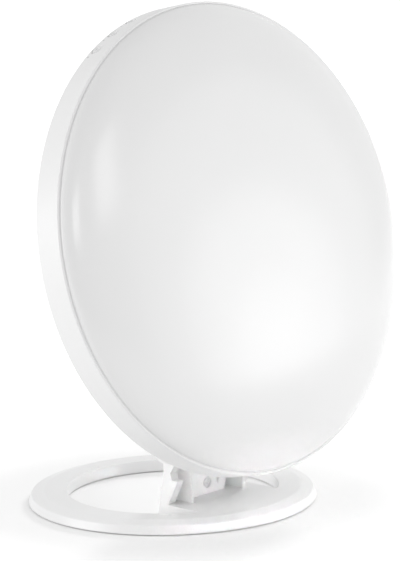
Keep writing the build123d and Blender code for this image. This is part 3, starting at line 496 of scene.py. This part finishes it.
# Diffusing sheet: frosted polyester with beads of about 0.1 mm, drawn at 0.5 mm.
frosted_sheet = grained_finish(
    "frosted_polyester_sheet", "F4F4F3", "F0F0F0",
    drift=0.040, grain=0.0005, rough=(0.62, 0.74), height=0.00002,
    shader={"IOR": 1.57},
)
dress(frosted_sheet, "diffusing_sheet")

# Solder mask on aluminium: satin white lacquer that lies over the copper runs, which
# raise it in rounded swellings of about 2 mm.
board_white = grained_finish(
    "white_solder_mask_on_aluminium", "EEEFEF", "E4E6E6",
    drift=0.012, grain=0.0020, rough=(0.28, 0.38), height=0.00003,
    shader={"IOR": 1.52},
)
dress(board_white, "led_board")

# Phosphor silicone: matt yellow filling with grains of about 0.1 mm, drawn at 0.3 mm.
phosphor = grained_finish(
    "yellow_phosphor_silicone", "EFD45C", "E5C443",
    drift=0.0015, grain=0.0003, rough=(0.45, 0.60), height=0.00001,
    shader={"IOR": 1.41},
)
dress(phosphor, "leds")

# ---------------------------------------------------------------------------
# Driver: a glass-fibre board with green solder mask, and on it a wound ferrite coil,
# aluminium can capacitors and black epoxy chips.
# ---------------------------------------------------------------------------

trace_pitch = 0.0026
trace_length = trace_pitch * 5
trace_gap = trace_pitch * 0.18

# Green solder mask: darker over bare board and lighter over the copper runs, which lie
# in straight lanes of short lengths, at a pitch of 2.6 mm.
board_green = new_finish("green_solder_mask")
board_place = add_node(board_green, "ShaderNodeTexCoord")
board_turn = add_node(
    board_green, "ShaderNodeMapping", {"Rotation": (radians(90) - lean, 0, 0)},
    {"Vector": (board_place, "Object")},
)
runs = add_node(
    board_green, "ShaderNodeTexBrick",
    {
        "offset": 0.37, "Color1": linear("1E6B3A"), "Color2": linear("237442"), "Mortar": linear("134A28"),
        "Scale": 1.0, "Mortar Size": trace_gap, "Mortar Smooth": 0.3,
        "Brick Width": trace_length, "Row Height": trace_pitch,
    },
    {"Vector": (board_turn, 0)},
)
runs_bump = add_node(
    board_green, "ShaderNodeBump", {"Strength": 0.4, "Distance": 0.00004, "invert": True},
    {"Height": (runs, "Fac")},
)
mask_gloss = add_node(
    board_green, "ShaderNodeMapRange", {"To Min": 0.30, "To Max": 0.42}, {"Value": (runs, "Fac")},
)
mask = add_node(
    board_green, "ShaderNodeBsdfPrincipled", {"IOR": 1.52},
    {"Base Color": (runs, "Color"), "Roughness": (mask_gloss, 0), "Normal": (runs_bump, 0)},
)
add_node(board_green, "ShaderNodeOutputMaterial", {}, {"Surface": (mask, 0)})
dress(board_green, "driver_board")

# Ferrite: dark grey sintered ceramic with open pores of about 0.4 mm.
ferrite = grained_finish(
    "sintered_ferrite", "2E2E30", "3A3A3C",
    drift=0.004, grain=0.0004, rough=(0.55, 0.75), height=0.00003,
    shader={"IOR": 2.0},
)
dress(ferrite, "driver_coil")

# Drawn aluminium can: pale metal with drawing marks of about half a millimetre.
can_aluminium = grained_finish(
    "drawn_aluminium_can", "D3D5D8", "C4C7CA",
    drift=0.005, grain=0.0005, rough=(0.28, 0.40), height=0.000008,
    shader={"Metallic": 1.0},
)
dress(can_aluminium, "driver_capacitors")

# ---------------------------------------------------------------------------
# Power inlet and key switches: barrel jack and switch bodies moulded in black PBT,
# with a nickel-plated brass pin in the jack. The chips are black epoxy.
# ---------------------------------------------------------------------------

# Black PBT: satin with a fine grain of about 0.4 mm.
black_pbt = grained_finish(
    "moulded_black_pbt", "17181A", "202123",
    drift=0.008, grain=0.0004, rough=(0.42, 0.56), height=0.00001,
    shader={"IOR": 1.6},
)
dress(black_pbt, "dc_inlet", "key_switches")

# Epoxy: duller and greyer than the PBT, with a mould grain of about 0.2 mm.
black_epoxy = grained_finish(
    "black_epoxy_moulding", "1C1C1D", "262627",
    drift=0.002, grain=0.0002, rough=(0.55, 0.68), height=0.000008,
    shader={"IOR": 1.55},
)
dress(black_epoxy, "driver_chips")

# Nickel plate: warm bright metal, rubbed by the plug in patches of about 2 mm.
nickel = grained_finish(
    "nickel_plated_brass", "D2CEC4", "BFBAAE",
    drift=0.0020, grain=0.0003, rough=(0.12, 0.24), height=0.000003,
    shader={"Metallic": 1.0},
)
dress(nickel, "dc_inlet_pin")

# ---------------------------------------------------------------------------
# Indicators beside the keys: a small white LED chip behind a light pipe of smoked
# acrylic that is pressed through the rim.
# ---------------------------------------------------------------------------

# Chip: clear silicone over a white cup, even and glossy.
chip_silicone = grained_finish(
    "clear_silicone_over_white_cup", "E8E6DA", "DEDCCB",
    drift=0.0008, grain=0.0003, rough=(0.18, 0.26), height=0.000003,
    shader={"IOR": 1.41},
)
dress(chip_silicone, "indicator_leds")

# Smoked acrylic: pale grey, polished at its end, with faint flow marks of half a millimetre.
smoked_acrylic = grained_finish(
    "smoked_acrylic", "DCDDDE", "D0D2D3",
    drift=0.0010, grain=0.0005, rough=(0.08, 0.14), height=0.000003,
    shader={"IOR": 1.49},
)
dress(smoked_acrylic, "indicator_windows")
